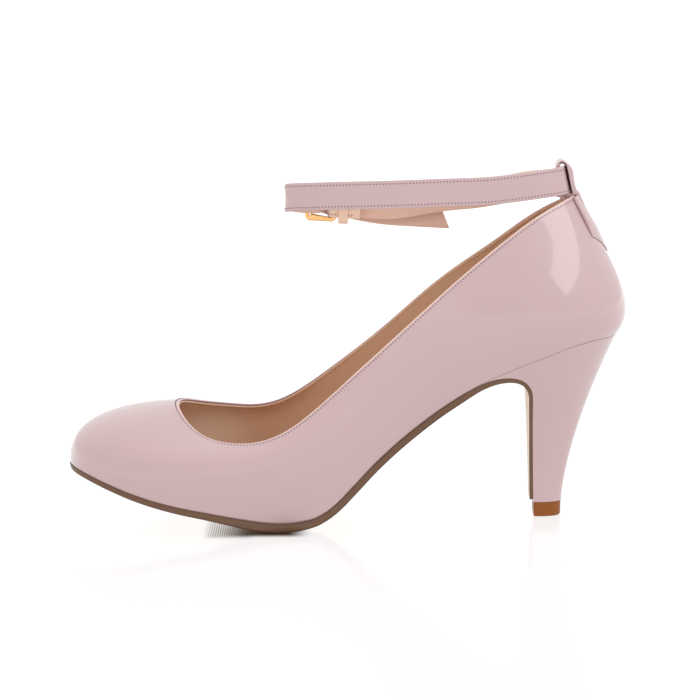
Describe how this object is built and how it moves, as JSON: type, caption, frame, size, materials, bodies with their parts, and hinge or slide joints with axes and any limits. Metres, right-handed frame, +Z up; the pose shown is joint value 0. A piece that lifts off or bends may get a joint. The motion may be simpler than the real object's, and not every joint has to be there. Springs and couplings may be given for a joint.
{
  "type": "buckle pump",
  "caption": "Closed-toe court shoe with a high tapered heel, a low-cut topline and a slim buckled ankle strap held by a loop at the back.",
  "frame": {"origin": "centre of the heel top piece's wearing face, on the floor the shoe stands on", "axes": "+Z up, +X from the toe to the heel along the shoe's length, +Y to the wearer's outer side, which is the side of the buckle"},
  "size_m": [0.2286, 0.0779, 0.1482],
  "materials": {
    "patent": "glossy blush pink patent",
    "strap_patent": "glossy blush pink patent, stitched along both edges",
    "heel_cover": "glossy blush pink patent over a moulded heel",
    "footbed": "smooth tan lining leather",
    "sole_leather": "brown waxed edge, satin beige underside",
    "tip": "brown wood-toned, satin",
    "buckle_metal": "polished pale gold"
  },
  "bodies": {
    "root": {"upper": "patent", "backstay": "patent", "ankle_strap": "strap_patent", "strap_keeper": "strap_patent", "heel": "heel_cover", "insole": "footbed", "outsole": "sole_leather", "top_piece": "tip", "buckle_frame": "buckle_metal", "buckle_prong": "buckle_metal"}
  },
  "joints": []
}
